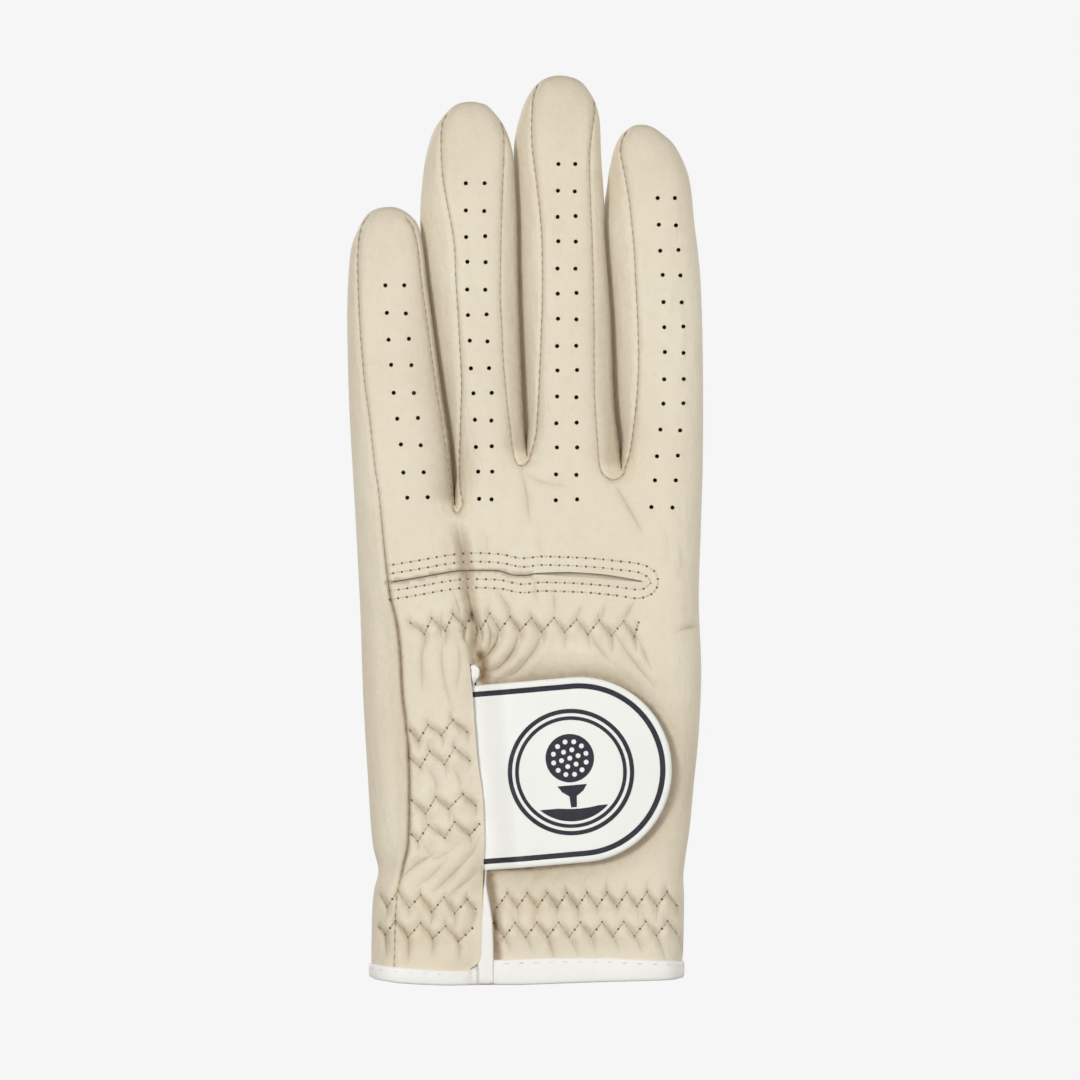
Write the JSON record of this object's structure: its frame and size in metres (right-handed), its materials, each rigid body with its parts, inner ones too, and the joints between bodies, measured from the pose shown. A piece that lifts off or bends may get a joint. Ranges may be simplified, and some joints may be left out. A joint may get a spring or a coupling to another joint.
{
  "type": "golf glove",
  "caption": "Left-hand leather golf glove with perforated fingers, vented knuckles, elastic cuff and a hook-and-loop closing tab.",
  "frame": {"origin": "centre of the wrist opening, at the bottom edge of the cuff binding", "axes": "+Z along the fingers, -Y out of the back of the hand, +Y out of the palm, -X towards the little finger"},
  "size_m": [0.0866, 0.0303, 0.222],
  "materials": {
    "cream_leather": "soft matt sheepskin leather, cream",
    "palm_leather": "soft matt sheepskin leather, cream",
    "white_synthetic": "smooth white synthetic leather with a fine grain",
    "navy_film": "matt navy heat-transfer film",
    "elastic_webbing": "off-white knitted elastic",
    "hook_tape": "off-white hook tape",
    "loop_tape": "cream loop tape"
  },
  "bodies": {
    "hand": {"back_panel": "cream_leather", "palm_panel": "palm_leather", "vent_facing": "cream_leather", "knuckle_elastic": "elastic_webbing", "flap_elastic_upper": "elastic_webbing", "flap_elastic_lower": "elastic_webbing", "cuff_elastic_flap": "elastic_webbing", "cuff_elastic_back": "elastic_webbing", "cuff_elastic_palm": "elastic_webbing", "loop_patch": "loop_tape", "cuff_binding": "white_synthetic", "placket_binding": "white_synthetic", "tab_root": "white_synthetic", "thumb_root": "palm_leather"},
    "tab": {"tab_face": "white_synthetic", "tab_stripe": "navy_film", "tab_emblem_ring": "navy_film", "tab_emblem_ball": "navy_film", "tab_emblem_tee": "navy_film", "hook_patch": "hook_tape"},
    "thumb": {"thumb_outer": "palm_leather", "thumb_inner": "palm_leather"},
    "little_finger": {"little_finger_back": "cream_leather", "little_finger_palm": "palm_leather", "little_fourchette_inner": "cream_leather"},
    "ring_finger": {"ring_finger_back": "cream_leather", "ring_finger_palm": "palm_leather", "ring_fourchette_outer": "cream_leather", "ring_fourchette_inner": "cream_leather"},
    "middle_finger": {"middle_finger_back": "cream_leather", "middle_finger_palm": "palm_leather", "middle_fourchette_outer": "cream_leather", "middle_fourchette_inner": "cream_leather"},
    "index_finger": {"index_finger_back": "cream_leather", "index_finger_palm": "palm_leather", "index_fourchette_outer": "cream_leather"}
  },
  "joints": [
    {"name": "little_flex", "type": "hinge", "parent": "hand", "child": "little_finger", "pos_m": [-0.034, 0.0058, 0.12], "axis": [-1, 0, 0], "range_deg": [0, 80]},
    {"name": "ring_flex", "type": "hinge", "parent": "hand", "child": "ring_finger", "pos_m": [-0.009, 0.0058, 0.13], "axis": [-1, 0, 0], "range_deg": [0, 80]},
    {"name": "middle_flex", "type": "hinge", "parent": "hand", "child": "middle_finger", "pos_m": [0.0088, 0.0058, 0.13], "axis": [-1, 0, 0], "range_deg": [0, 80]},
    {"name": "index_flex", "type": "hinge", "parent": "hand", "child": "index_finger", "pos_m": [0.0319, 0.0058, 0.128], "axis": [-1, 0, 0], "range_deg": [0, 80]},
    {"name": "thumb_swing", "type": "hinge", "parent": "hand", "child": "thumb", "pos_m": [0.01317, 0.0189, 0.07561], "axis": [-0.829, 0, -0.5592], "range_deg": [0, 70]},
    {"name": "tab_fold", "type": "hinge", "parent": "hand", "child": "tab", "pos_m": [-0.012, -0.0104, 0.0505], "axis": [0.0872, 0, -0.9962], "range_deg": [0, 110]}
  ]
}
